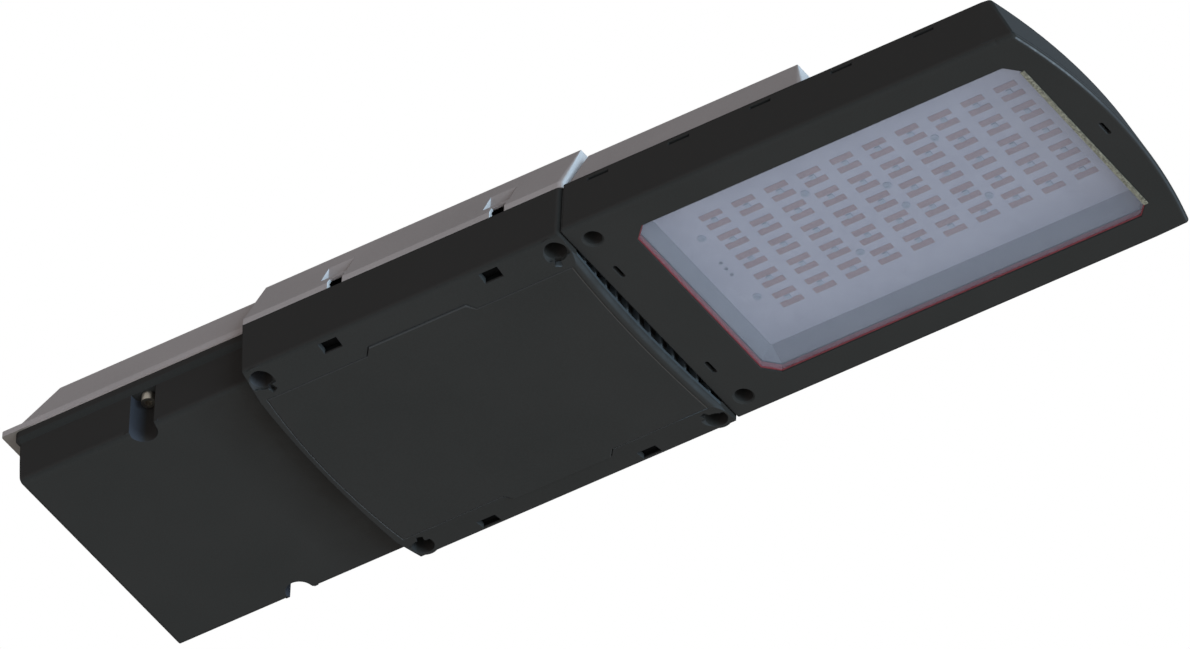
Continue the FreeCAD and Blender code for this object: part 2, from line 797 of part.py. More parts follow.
def make_cable_gland():
    inner = driver_x0 + wall
    outer = driver_x0 - seam - rear_wall
    barrel = rod_along(outer, inner, 0, gland_height, gland_radius)
    nut = hex_along(inner, inner + gland_nut, 0, gland_height, 2 * gland_collar)
    dome = rod_along(outer - gland_dome, outer, 0, gland_height, gland_collar)
    rim = [edge for edge in dome.Edges if edge.BoundBox.XMax < outer - gland_dome + through / 10]
    body = join(barrel, nut, dome.makeChamfer(gland_bevel, rim))
    return body.cut(rod_along(outer - gland_dome - through, inner + gland_nut + through, 0, gland_height,
                              gland_radius / 2))


def make_joint_gasket():
    # a frame between the compartment's front plane and the module, open below the vents
    inset = joint_seal_inset
    outer = box(driver_x1, module_x0, inset - half_width, half_width - inset, inset, side_height - inset)
    inner = box(driver_x1 - through, module_x0 + through, -vent_half - inset, vent_half + inset, -through,
                vent_top + inset)
    return outer.cut(inner)


def make_wire_tube():
    x0 = driver_x1 - vent_wall - wall
    x1 = module_x0 + module_cover_start + 2 * wall
    tube = rod_along(x0, x1, 0, tube_height, tube_radius)
    flange = rod_along(x0, x0 + wall, 0, tube_height, tube_radius + wall)
    bore = rod_along(x0 - through, x1 + through, 0, tube_height, tube_radius - tube_wall)
    return join(tube, flange).cut(bore)


# LED module


def module_wire(inset, height):
    z = up(height)
    x0 = module_x0 + inset
    crease = module_x0 + module_length - crease_from_corner
    tip = module_x0 + module_length - nose_rake * height / side_height - inset
    half = half_width - inset
    tip_half = half - nose_tuck
    bulge = nose_bulge + (nose_top_bulge - nose_bulge) * height / side_height
    return Part.Wire([
        Part.makeLine(V(x0, -half, z), V(crease, -half, z)),
        Part.makeLine(V(crease, -half, z), V(tip, -tip_half, z)),
        Part.Arc(V(tip, -tip_half, z), V(tip + bulge, 0, z), V(tip, tip_half, z)).toShape(),
        Part.makeLine(V(tip, tip_half, z), V(crease, half, z)),
        Part.makeLine(V(crease, half, z), V(x0, half, z)),
        Part.makeLine(V(x0, half, z), V(x0, -half, z))])


def pocket_plan(inset, cut=None):
    # the lens pocket's outline, a rectangle with cut corners
    x0, x1 = module_x0 + lens_x0 + inset, module_x0 + lens_x1 - inset
    half = lens_half - inset
    cut = lens_cut - inset * (2 - math.sqrt(2)) if cut is None else cut
    return [(x0 + cut, -half, 0), (x1 - cut, -half, 0), (x1, cut - half, 0), (x1, half - cut, 0),
            (x1 - cut, half, 0), (x0 + cut, half, 0), (x0, half - cut, 0), (x0, cut - half, 0)]


def fin_places():
    return [(k - (cooling_fins - 1) / 2) * cooling_pitch for k in range(cooling_fins)]


def drain(x, y):
    reach = drain_length - drain_width
    half, high = drain_width / 2, wall + through
    slot = box(x - half, x + half, y - reach / 2, y + reach / 2, -through, high)
    ends = [rod(x, y + side * reach / 2, -through, high, half) for side in (-1, 1)]
    return slot.fuse(ends)


def module_wells():
    y = half_width - module_well_from_side
    return [(module_x0 + module_well_x, side * y) for side in (-1, 1)]


def nose_groove_ring():
    # shallow groove round the nose, just above the rounding of its lower edge
    low, high = nose_groove_height, nose_groove_height + nose_groove
    ring = taper(module_wire(-through, low), module_wire(-through, high))
    ring = ring.cut(taper(module_wire(nose_groove, low), module_wire(nose_groove, high)))
    x0 = module_x0 + module_length - nose_rake * high / side_height - nose_groove
    tip_half = half_width - nose_tuck
    return ring.common(box(x0, x0 + 2 * nose_bulge, -tip_half, tip_half, low, high))


def lower_front_edges(shape):
    # the underside's edge round the nose
    return [edge for edge in shape.Edges if edge.BoundBox.ZMax < up(0) + seam
            and edge.BoundBox.YLength > body_width / 2
            and edge.BoundBox.XMax > module_x0 + module_length - crease_from_corner]


def make_module_body():
    rounded = rectangle(module_x0, module_x0 + 2 * module_length, half_width, module_corner)
    outer = taper(module_wire(0, 0), module_wire(0, side_height))
    lower = [edge for edge in outer.Edges if edge.BoundBox.ZMax < up(0) + seam
             and edge.BoundBox.XMax > module_x0 + through]
    outer = outer.makeFillet(module_fold, [edge for edge in lower if edge.BoundBox.YLength < body_width / 2])
    outer = outer.makeFillet(nose_fold, lower_front_edges(outer))
    outer = outer.common(slab(rounded, 0, side_height))
    tray = taper(module_wire(wall, wall), module_wire(wall, side_height + through))
    roof = board_height + board_thickness + block_roof
    block = slab(pocket_plan(-wall), 0, roof)
    shell = outer.cut(tray)
    fin_x0, fin_x1 = module_x0 + lens_x0 - wall, module_x0 + lens_x1 + wall - lens_cut
    half = cooling_thickness / 2
    fins = [box(fin_x0, fin_x1, y - half, y + half, roof - seam, cooling_top) for y in fin_places()]
    inner = half_width - wall
    ribs = [box(x, x + wall, -inner, inner, wall - seam, side_height) for x in cover_seats()]
    bosses = [rod(x, y, wall / 2, side_height, module_well_radius + well_wall).common(outer)
              for x, y in module_wells()]
    shell = join(shell, block, *fins, *ribs, *bosses)
    cuts = [slab(pocket_plan(0), -through, board_height + board_thickness)]
    for k in range(slot_count):
        start = module_x0 + slot_start + k * slot_pitch
        high = side_height - slot_under_rim
        cuts += both_sides(box(start, start + slot_length, -half_width - through, 2 * wall - half_width,
                               high - slot_height, high))
    cuts += [drain(module_x0 + drain_at_x, side * drain_at_y) for side in (-1, 1)]
    cuts.append(drain(module_x0 + module_length + nose_bulge - drain_from_nose, 0))
    for x, y in module_wells():
        cuts.append(bevelled_bore(x, y, 0, module_well_depth, module_well_radius, well_bevel))
        cuts.append(rod(x, y, 0, side_height + through, rear_screw / 2 + seam / 2))
    bore_end = module_x0 + module_cover_start + 2 * wall
    cuts.append(rod_along(module_x0 - through, bore_end, 0, tube_height, tube_radius + seam))
    cuts.append(nose_groove_ring())
    return shell.cut(cuts)


def cover_seats():
    # cross ribs of the casting under the module cover's two ends
    return [module_x0 + module_cover_start, module_x0 + module_cover_end - wall - cover_inset]


def module_cover_wires(inset, low, top):
    rise = module_cover_top - side_height
    x0, x1 = module_x0 + module_cover_start + inset, module_x0 + module_cover_end - inset
    half = half_width - cover_inset - inset
    foot = plan_wire(rectangle(x0, x1, half, 0, cover_corner), low)
    head_end = x1 - module_cover_rake * rise
    head = rectangle(x0 + module_cover_lean, head_end, half - side_lean * rise, 0, cover_peak)
    return foot, plan_wire(head, top)


def make_module_cover():
    foot, head = module_cover_wires(0, side_height, module_cover_top)
    cover = taper(foot, head)
    foot, head = module_cover_wires(cover_wall, side_height - seam, module_cover_top - cover_wall)
    post_radius = module_well_radius + well_bevel
    posts = [rod(x, y, side_height, side_height + 2 * rear_screw, post_radius).common(cover)
             for x, y in module_wells()]
    cover = join(cover.cut(taper(foot, head)), *posts)
    holes = [rod(x, y, side_height - through, module_screw_tip + seam, rear_screw / 2 + seam / 2)
             for x, y in module_wells()]
    return cover.cut(holes)


def make_module_screws():
    screws = []
    low = module_well_depth - rear_screw
    for x, y in module_wells():
        head = rod(x, y, low, module_well_depth, rear_screw_head / 2)
        head = head.cut(hex_socket(x, y, low, rear_screw / 2, rear_screw * hex_part))
        screws.append(head.fuse(rod(x, y, module_well_depth, module_screw_tip, rear_screw / 2)))
    return screws


def make_lens():
    return slab(pocket_plan(gasket_width), lens_setback, lens_top)


def make_lens_gasket():
    ring = slab(pocket_plan(press_gap), gasket_setback, lens_top)
    return ring.cut(slab(pocket_plan(gasket_width), gasket_setback - through, lens_top + through))


def make_lens_end_strip():
    x1 = module_x0 + lens_x1 + strip_overlap
    strip_half = lens_half - strip_from_end
    return box(x1 - strip_width, x1, -strip_half, strip_half, -strip_thickness, 0)


def baffle_mouths():
    # the baffle's opening, wide at the glass and drawn in at the board
    wide = pocket_plan(baffle_mouth)
    x0, x1 = module_x0 + lens_x0 + baffle_inset_x, module_x0 + lens_x1 - baffle_inset_x
    half, cut = lens_half - baffle_inset_y, baffle_cut
    narrow = [(x0 + cut, -half, 0), (x1 - cut, -half, 0), (x1, cut - half, 0), (x1, half - cut, 0),
              (x1 - cut, half, 0), (x0 + cut, half, 0), (x0, half - cut, 0), (x0, cut - half, 0)]
    return wide, narrow


def make_baffle_frame():
    frame = slab(pocket_plan(seam), lens_top, board_height)
    wide, narrow = baffle_mouths()
    return frame.cut(taper(plan_wire(wide, lens_top), plan_wire(narrow, board_height)))


def board_screw_centres():
    return [(module_x0 + x, side * y) for x, y in board_screw_places for side in (-1, 1)]


def make_led_board():
    return slab(pocket_plan(seam), board_height, board_height + board_thickness)


def make_board_screws():
    screws = []
    for x, y in board_screw_centres():
        low = board_height - board_screw_rise
        head = rod(x, y, low, board_height, board_screw_head / 2)
        screws.append(head.cut(hex_socket(x, y, low, board_screw_rise / 2, board_screw * hex_part)))
    return screws


def led_centres():
    return [(module_x0 + led_start + column * led_pitch_x, (row - (led_rows - 1) / 2) * led_pitch_y)
            for column in range(led_columns) for row in range(led_rows)]


def make_pad_strips():
    pads = []
    for x, y in led_centres():
        for side in (-1, 1):
            middle = y + side * (pad_gap + pad_width) / 2
            near, far = middle - pad_width / 2, middle + pad_width / 2
            low = board_height - pad_thickness
            pads.append(box(x - pad_length / 2, x + pad_length / 2, near, far, low, board_height))
    return pads


def make_led_chips():
    half, low = led_size / 2, board_height - led_height
    return [box(x - half, x + half, y - half, y + half, low, board_height) for x, y in led_centres()]


def make_wire_pads():
    return [rod(module_x0 + wire_pad_x, k * wire_pad_pitch, board_height - pad_thickness, board_height,
                wire_pad_radius) for k in (-1, 0, 1)]


# Sizes that follow from the ones above
lip_foot = lip_height - lip_out
saddle_middle = saddle_start + saddle_length / 2
boss_top = axis_height - clamp_gap / 2
ear_low = axis_height + clamp_gap / 2
hex_radius = clamp_bolt_head / math.sqrt(3)
clamp_bolt_y = socket_radius + strap + ear_reach / 2 - strap / 2
screw_y = channel_depth - half_rear - rear_screw_head / 2 - screw_head_gap
screw_tip = lip_top + rear_screw_hold
plate_top = plate_thickness - keel
driver_size = (driver_length - driver_from_rear - driver_from_front, driver_width, driver_height)
driver_at = (driver_x0 + driver_from_rear + driver_size[0] / 2, driver_at_y)
surge_at = (driver_x0 + surge_from_rear, surge_at_y)
terminal_at = (driver_x0 + terminal_from_rear, terminal_at_y)
plate_seat = plate_top + gasket_thickness
vent_wall = vent_bow + vent_row_depth + wall
tube_height = vent_row_high + tube_radius + wall
well_screw_tip = well_top + cover_screw_length
screw_post_top = well_screw_tip + well_wall
module_screw_tip = side_height + rear_screw_hold
lens_top = lens_setback + lens_thickness

makers = {
    "rear_housing": make_rear_housing,
    "rear_cover": make_rear_cover,
    "rear_cover_screws": make_rear_cover_screws,
    "clamp_saddle": make_clamp_saddle,
    "clamp_bolts": make_clamp_bolts,
    "clamp_washers": make_clamp_washers,
    "joint_screws": make_joint_screws,
    "driver_housing": make_driver_housing,
    "driver_cover": make_driver_cover,
    "access_plate": make_access_plate,
    "plate_gasket": make_plate_gasket,
    "plate_latches": make_plate_latches,
    "cover_screws": make_cover_screws,
    "led_driver": lambda: cased_block(driver_size, driver_at, case_rounding),
    "surge_protector": lambda: cased_block(surge_size, surge_at, case_rounding),
    "terminal_block": make_terminal_block,
    "fixing_screws": make_fixing_screws,
    "cable_gland": make_cable_gland,
    "joint_gasket": make_joint_gasket,
    "wire_tube": make_wire_tube,
    "module_body": make_module_body,
    "module_cover": make_module_cover,
    "module_screws": make_module_screws,
    "lens": make_lens,
    "lens_gasket": make_lens_gasket,
    "lens_end_strip": make_lens_end_strip,
    "baffle_frame": make_baffle_frame,
    "led_board": make_led_board,
    "board_screws": make_board_screws,
    "pad_strips": make_pad_strips,
    "led_chips": make_led_chips,
    "wire_pads": make_wire_pads,
}

os.makedirs("parts", exist_ok=True)
for name, make in makers.items():
    shape = make()
    if isinstance(shape, list):
        shape = Part.makeCompound(shape)
    solids = shape.Solids
    if len(solids) == 1:
        shape = solids[0]
    shape.exportStep("parts/" + name + ".step")
    print(name, len(solids), "solids,", round(shape.Volume / 1000, 2), "cm3, valid", shape.isValid())
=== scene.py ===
import json
import math

import bmesh
import bpy
from mathutils import Matrix, Vector

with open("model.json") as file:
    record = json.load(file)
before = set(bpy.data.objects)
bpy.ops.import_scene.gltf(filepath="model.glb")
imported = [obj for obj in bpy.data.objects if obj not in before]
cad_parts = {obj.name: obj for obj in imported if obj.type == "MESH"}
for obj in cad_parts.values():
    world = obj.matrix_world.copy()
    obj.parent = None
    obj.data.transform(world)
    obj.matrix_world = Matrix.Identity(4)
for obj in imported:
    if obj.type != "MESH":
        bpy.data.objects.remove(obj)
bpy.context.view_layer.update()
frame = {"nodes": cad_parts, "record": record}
print("frame loaded, nodes:", len(frame["nodes"]))

# the colour mix has sockets for every type of data, and these are the ones for colours
mixFactor, mixFirst, mixSecond, mixResult = 0, 6, 7, 2


def newMaterial(name):
    material = bpy.data.materials.new(name)
    material.use_nodes = True
    tree = material.node_tree
    tree.nodes.clear()
    output = tree.nodes.new("ShaderNodeOutputMaterial")
    shader = tree.nodes.new("ShaderNodeBsdfPrincipled")
    tree.links.new(shader.outputs["BSDF"], output.inputs["Surface"])
    coordinates = tree.nodes.new("ShaderNodeTexCoord").outputs["Object"]
    return material, tree, shader, coordinates


def addNoise(tree, coordinates, scale, detail=4.0, roughness=0.5):
    noise = tree.nodes.new("ShaderNodeTexNoise")
    noise.inputs["Scale"].default_value = scale
    noise.inputs["Detail"].default_value = detail
    noise.inputs["Roughness"].default_value = roughness
    tree.links.new(coordinates, noise.inputs["Vector"])
    return noise.outputs["Fac"]


def addRange(tree, value, low=0.0, high=1.0, fromLow=0.3, fromHigh=0.7):
    # low to high while the value runs between the last two, which are a noise's usual ends
    remap = tree.nodes.new("ShaderNodeMapRange")
    remap.inputs["From Min"].default_value = fromLow
    remap.inputs["From Max"].default_value = fromHigh
    remap.inputs["To Min"].default_value = low
    remap.inputs["To Max"].default_value = high
    tree.links.new(value, remap.inputs["Value"])
    return remap.outputs["Result"]


def mixColors(tree, factor, first, second):
    mix = tree.nodes.new("ShaderNodeMix")
    mix.data_type = "RGBA"
    tree.links.new(factor, mix.inputs[mixFactor])
    for socket, value in ((mixFirst, first), (mixSecond, second)):
        if isinstance(value, tuple):
            mix.inputs[socket].default_value = (*value, 1.0)
        else:
            tree.links.new(value, mix.inputs[socket])
    return mix.outputs[mixResult]


def combine(tree, operation, first, second):
    node = tree.nodes.new("ShaderNodeMath")
    node.operation = operation
    for socket, value in zip(node.inputs, (first, second)):
        if isinstance(value, float):
            socket.default_value = value
        else:
            tree.links.new(value, socket)
    return node.outputs["Value"]


def dotProduct(tree, first, second):
    node = tree.nodes.new("ShaderNodeVectorMath")
    node.operation = "DOT_PRODUCT"
    for socket, value in zip(node.inputs, (first, second)):
        if isinstance(value, Vector):
            socket.default_value = value
        else:
            tree.links.new(value, socket)
    return node.outputs["Value"]


def stretchMask(tree, coordinates, axis, low, high, fade):
    # 1 from low to high along one axis, fading to 0 over the given length
    split = tree.nodes.new("ShaderNodeSeparateXYZ")
    tree.links.new(coordinates, split.inputs["Vector"])
    rise = addRange(tree, split.outputs[axis], fromLow=low - fade, fromHigh=low)
    fall = addRange(tree, split.outputs[axis], 1.0, 0.0, fromLow=high, fromHigh=high + fade)
    return combine(tree, "MULTIPLY", rise, fall)


def markMask(tree, coordinates, mark):
    # on the faces that look the mark's way, inside its stretches; "from" and "full" are cosines of the angle
    normal = tree.nodes.new("ShaderNodeNewGeometry").outputs["Normal"]
    facing = dotProduct(tree, normal, Vector(mark["facing"]).normalized())
    mask = addRange(tree, facing, fromLow=mark["from"], fromHigh=mark["full"])
    for axis, stretch in mark.get("within", {}).items():
        mask = combine(tree, "MULTIPLY", mask, stretchMask(tree, coordinates, axis, *stretch))
    if "patchy" in mark:
        patches = addNoise(tree, coordinates, mark["patchy"], roughness=0.6)
        mask = combine(tree, "MULTIPLY", mask, addRange(tree, patches, low=0.3))
    return combine(tree, "MULTIPLY", mask, mark["amount"])


def edgeMask(tree, look):
    # how far the rounded normal turns from the flat one: 0 on faces, and up to 1 on sharp edges
    bevel = tree.nodes.new("ShaderNodeBevel")
    bevel.samples = look["edgeSamples"]
    bevel.inputs["Radius"].default_value = look["edgeRadius"]
    rounded = bevel.outputs["Normal"]
    flat = tree.nodes.new("ShaderNodeNewGeometry").outputs["Normal"]
    turned = combine(tree, "SUBTRACT", 1.0, dotProduct(tree, rounded, flat))
    grown = combine(tree, "MULTIPLY", turned, look["edgeGain"])
    return combine(tree, "MINIMUM", grown, 1.0), rounded


def addBump(tree, shader, height, strength, distance):
    bump = tree.nodes.new("ShaderNodeBump")
    bump.inputs["Strength"].default_value = strength
    bump.inputs["Distance"].default_value = distance
    tree.links.new(height, bump.inputs["Height"])
    tree.links.new(bump.outputs["Normal"], shader.inputs["Normal"])
    return bump


def powderCoat(name, look):
    # sprayed coat: fine orange peel, slow drift of tone, specks, edges tinted towards their edge colour,
    # partly wear and partly painted highlight, and the marks of its piece
    material, tree, shader, coordinates = newMaterial(name)
    drift = addNoise(tree, coordinates, look["driftScale"], detail=3.0)
    grain = addNoise(tree, coordinates, look["grainScale"], detail=2.0)
    peel = addNoise(tree, coordinates, look["peelScale"], detail=2.0, roughness=0.4)
    color = mixColors(tree, addRange(tree, drift), look["colorLow"], look["colorHigh"])
    color = mixColors(tree, addRange(tree, grain, high=look["grain"]), color, look["speck"])
    edges, rounded = edgeMask(tree, look)
    # edges tinted towards the edge colour: partly wear, partly painted highlight where light catches the
    # rounded edges
    color = mixColors(tree, combine(tree, "MULTIPLY", edges, look["wearAndHighlightEdges"]), color, look["wearAndHighlightTint"])
    for mark in look["marks"].values():
        color = mixColors(tree, markMask(tree, coordinates, mark), color, mark["color"])
    tree.links.new(color, shader.inputs["Base Color"])
    tree.links.new(addRange(tree, drift, look["roughLow"], look["roughHigh"]), shader.inputs["Roughness"])
    shader.inputs["Specular IOR Level"].default_value = look["specular"]
    bump = addBump(tree, shader, peel, look["peel"], look["peelDepth"])
    tree.links.new(rounded, bump.inputs["Normal"])
    return material


# what a plain coat has where its own look says nothing else
plainDefaults = {
    "stretch": (1.0, 1.0, 1.0), "metallic": 0.0, "specular": 0.3, "alpha": 1.0,
    "bump": 0.15, "bumpDepth": 0.0002,
}


def plainCoat(name, ownLook):
    # moulded, drawn or printed material with a soft change of tone and its own grain
    look = {**plainDefaults, **ownLook}
    material, tree, shader, coordinates = newMaterial(name)
    mapping = tree.nodes.new("ShaderNodeMapping")
    mapping.inputs["Scale"].default_value = look["stretch"]
    tree.links.new(coordinates, mapping.inputs["Vector"])
    noise = addNoise(tree, mapping.outputs["Vector"], look["scale"])
    color = mixColors(tree, addRange(tree, noise), look["colorLow"], look["colorHigh"])
    tree.links.new(color, shader.inputs["Base Color"])
    tree.links.new(addRange(tree, noise, look["roughLow"], look["roughHigh"]), shader.inputs["Roughness"])
    shader.inputs["Metallic"].default_value = look["metallic"]
    shader.inputs["Specular IOR Level"].default_value = look["specular"]
    shader.inputs["Alpha"].default_value = look["alpha"]
    addBump(tree, shader, noise, look["bump"], look["bumpDepth"])
    return material


# X runs from the pole arm to the nose and Z upwards, and the near side is the one at -Y
toNose, toNear, down = (1.0, 0.0, 0.0), (0.0, -1.0, 0.0), (0.0, 0.0, -1.0)

# a mark tints the faces that look one way, and "within" gives its low end, high end and fade along an axis;
# this one paints light on the near side walls: a warmer, slightly paler grey than the underside, as the light
# that falls on the near side
nearSidePaintedLight = {"facing": toNear, "from": 0.8, "full": 0.97, "amount": 0.8, "color": (0.041, 0.036, 0.0335)}
castingLook = {
    "driftScale": 14.0, "colorLow": (0.0305, 0.0305, 0.029), "colorHigh": (0.0335, 0.033, 0.0315),
    "grainScale": 900.0, "grain": 0.2, "speck": (0.046, 0.046, 0.045),
    "peelScale": 700.0, "peel": 0.12, "peelDepth": 0.0002,
    "roughLow": 0.56, "roughHigh": 0.66, "specular": 0.0,
    "edgeSamples": 4, "edgeRadius": 0.0009, "edgeGain": 6.0,
    # the cool, pale edge colour of the castings is partly wear and partly painted highlight
    "wearAndHighlightEdges": 0.25, "wearAndHighlightTint": (0.07, 0.08, 0.09),
}
# the adapter's underside is painted darker and brownish in patches, as shade, where the driver compartment
# steps down before it
adapterLook = {**castingLook, "marks": {
    "sides": nearSidePaintedLight,
    # painted cool light on the channel walls that face the nose
    "channelWalls": {
        "facing": (1.0, -0.2, 0.0), "from": 0.6, "full": 0.95, "within": {"X": (0.065, 0.12, 0.004)},
        "amount": 0.9, "color": (0.048, 0.054, 0.068),
    },
    "paintedStepShade": {
        "facing": down, "from": 0.7, "full": 0.95, "within": {"X": (0.176, 0.2, 0.045)},
        "patchy": 18.0, "amount": 0.55, "color": (0.014, 0.011, 0.009),
    },
}}
# painted light, cool and pale, on faces towards the nose and the near side, in the seat grooves, the near
# rear well and the vents, and painted shade, near black, in the depth of the windows
compartmentLook = {**castingLook, "marks": {
    "sides": nearSidePaintedLight,
    # painted cool light on the front foot, in patches
    "frontFoot": {
        "facing": (1.0, 0.0, -0.8), "from": 0.86, "full": 0.98, "within": {"X": (0.42, 0.45, 0.004)},
        "patchy": 60.0, "amount": 0.55, "color": (0.06, 0.07, 0.078),
    },
    # painted cool light on walls towards the nose, and painted light on the seat groove walls and in the near
    # rear well, which lie in shade
    "wallsTowardsNose": {
        "facing": toNose, "from": 0.9, "full": 0.98, "within": {"X": (0.15, 0.4, 0.004)},
        "amount": 0.3, "color": (0.08, 0.092, 0.1),
    },
    "farSeatWall": {
        "facing": toNear, "from": 0.5, "full": 0.9,
        "within": {"X": (0.17, 0.42, 0.004), "Y": (0.05, 0.082, 0.003)},
        "amount": 1.0, "color": (0.1, 0.1, 0.1),
    },
    "rearSeatWall": {
        "facing": toNose, "from": 0.7, "full": 0.9,
        "within": {"X": (0.17, 0.27, 0.004), "Y": (-0.078, 0.078, 0.003)},
        "amount": 0.9, "color": (0.15, 0.15, 0.152),
    },
    "nearRearWell": {
        "facing": (1.0, -0.3, 0.0), "from": 0.5, "full": 0.95,
        "within": {"X": (0.186, 0.204, 0.001), "Y": (-0.103, -0.085, 0.001)},
        "amount": 0.6, "color": (0.078, 0.082, 0.094),
    },
    # painted shade, near black, in the depth of the windows
    "nearWindowDepth": {
        "facing": toNear, "from": 0.5, "full": 0.9,
        "within": {
            "X": (0.235, 0.39, 0.002), "Y": (-0.0945, -0.0915, 0.0005), "Z": (-0.0422, -0.036, 0.0006),
        },
        "amount": 1.0, "color": (0.006, 0.006, 0.006),
    },
    "farWindowDepth": {
        "facing": toNear, "from": 0.5, "full": 0.9,
        "within": {
            "X": (0.235, 0.39, 0.002), "Y": (0.1, 0.103, 0.0005), "Z": (-0.0406, -0.036, 0.0006),
        },
        "amount": 1.0, "color": (0.006, 0.006, 0.006),
    },
    # painted light on the vent's front, the backs of its slots and its fins, which lie in shade
    "ventFront": {
        "facing": toNose, "from": 0.97, "full": 0.995,
        "within": {"X": (0.41, 0.45, 0.004), "Y": (-0.083, 0.083, 0.002), "Z": (-0.06, -0.037, 0.008)},
        "amount": 1.0, "color": (0.06, 0.07, 0.078),
    },
    "ventBacks": {
        "facing": toNose, "from": 0.97, "full": 0.995,
        "within": {"X": (0.41, 0.432, 0.001), "Y": (-0.083, 0.083, 0.002), "Z": (-0.06, -0.036, 0.007)},
        "amount": 1.0, "color": (0.3, 0.34, 0.37),
    },
    "ventFins": {
        "facing": toNear, "from": 0.5, "full": 0.9,
        "within": {"X": (0.41, 0.45, 0.004), "Y": (-0.083, 0.083, 0.002)},
        "amount": 1.0, "color": (0.13, 0.15, 0.165),
    },
}}
# the plate's edges are painted as a fine pale line of highlight at its front, and hardly at its sides; its
# near walls at the jog are painted lighter where they lie in shade
plateLook = {**castingLook, "edgeRadius": 0.0006, "wearAndHighlightEdges": 0.6, "wearAndHighlightTint": (0.085, 0.08, 0.08)}
plateLook["marks"] = {
    "frontEdge": {
        "facing": toNose, "from": 0.5, "full": 0.8, "amount": 1.0, "color": (0.09, 0.083, 0.075),
    },
    "sideEdge": {
        "facing": toNear, "from": 0.5, "full": 0.8, "amount": 1.0, "color": (0.055, 0.055, 0.055),
    },
    "jogEdge": {
        "facing": toNear, "from": 0.5, "full": 0.8,
        "within": {"X": (0.27, 0.354, 0.002), "Y": (-0.09, -0.08, 0.001)},
        "amount": 1.0, "color": (0.067, 0.067, 0.067),
    },
}
# the nose's raked face and lower fold are painted a cool grey as lit from the front, and a bright line of
# painted highlight, in patches, runs along the near part of its lower edge
noseLook = {**castingLook, "marks": {
    "sides": nearSidePaintedLight,
    "rakedFace": {
        "facing": (1.0, 0.0, 0.3), "from": 0.8, "full": 0.95, "within": {"X": (0.76, 0.9, 0.004)},
        "amount": 0.9, "color": (0.067, 0.07, 0.073),
    },
    "lowerFold": {
        "facing": (1.0, 0.0, -1.0), "from": 0.9, "full": 0.98, "within": {"X": (0.76, 0.9, 0.006)},
        "amount": 0.8, "color": (0.06, 0.067, 0.073),
    },
    "paintedHighlightLine": {
        "facing": (1.0, 0.0, -1.0), "from": 0.93, "full": 0.99,
        "within": {"X": (0.78, 0.9, 0.006), "Y": (-0.12, -0.06, 0.05)},
        "patchy": 160.0, "amount": 0.75, "color": (0.2, 0.22, 0.235),
    },
}}

coverLook = {
    "driftScale": 10.0, "colorLow": (0.38, 0.325, 0.312), "colorHigh": (0.43, 0.365, 0.352),
    "grainScale": 800.0, "grain": 0.3, "speck": (0.47, 0.42, 0.41),
    "peelScale": 600.0, "peel": 0.1, "peelDepth": 0.0002,
    "roughLow": 0.6, "roughHigh": 0.7, "specular": 0.01,
    "edgeSamples": 4, "edgeRadius": 0.0008, "edgeGain": 6.0,
    "wearAndHighlightEdges": 0.2, "wearAndHighlightTint": (0.25, 0.25, 0.26),
}
# the covers' front ends, and the ends of the finger pockets, are painted paler and cooler than the sides, as
# the light that falls on them from the front
frontCoverLook = {**coverLook, "specular": 0.0, "marks": {
    "ends": {
        "facing": (1.0, 0.0, 0.1), "from": 0.6, "full": 0.93, "amount": 0.95, "color": (0.74, 0.78, 0.83),
    },
}}
# the visor's underside is painted darker at its lip, as shade
rearCoverLook = {**coverLook, "marks": {
    "lip": {
        "facing": (0.0, -0.3, -1.0), "from": 0.3, "full": 0.8, "within": {"X": (-0.1, 0.004, 0.012)},
        "amount": 0.85, "color": (0.15, 0.135, 0.115),
    },
}}

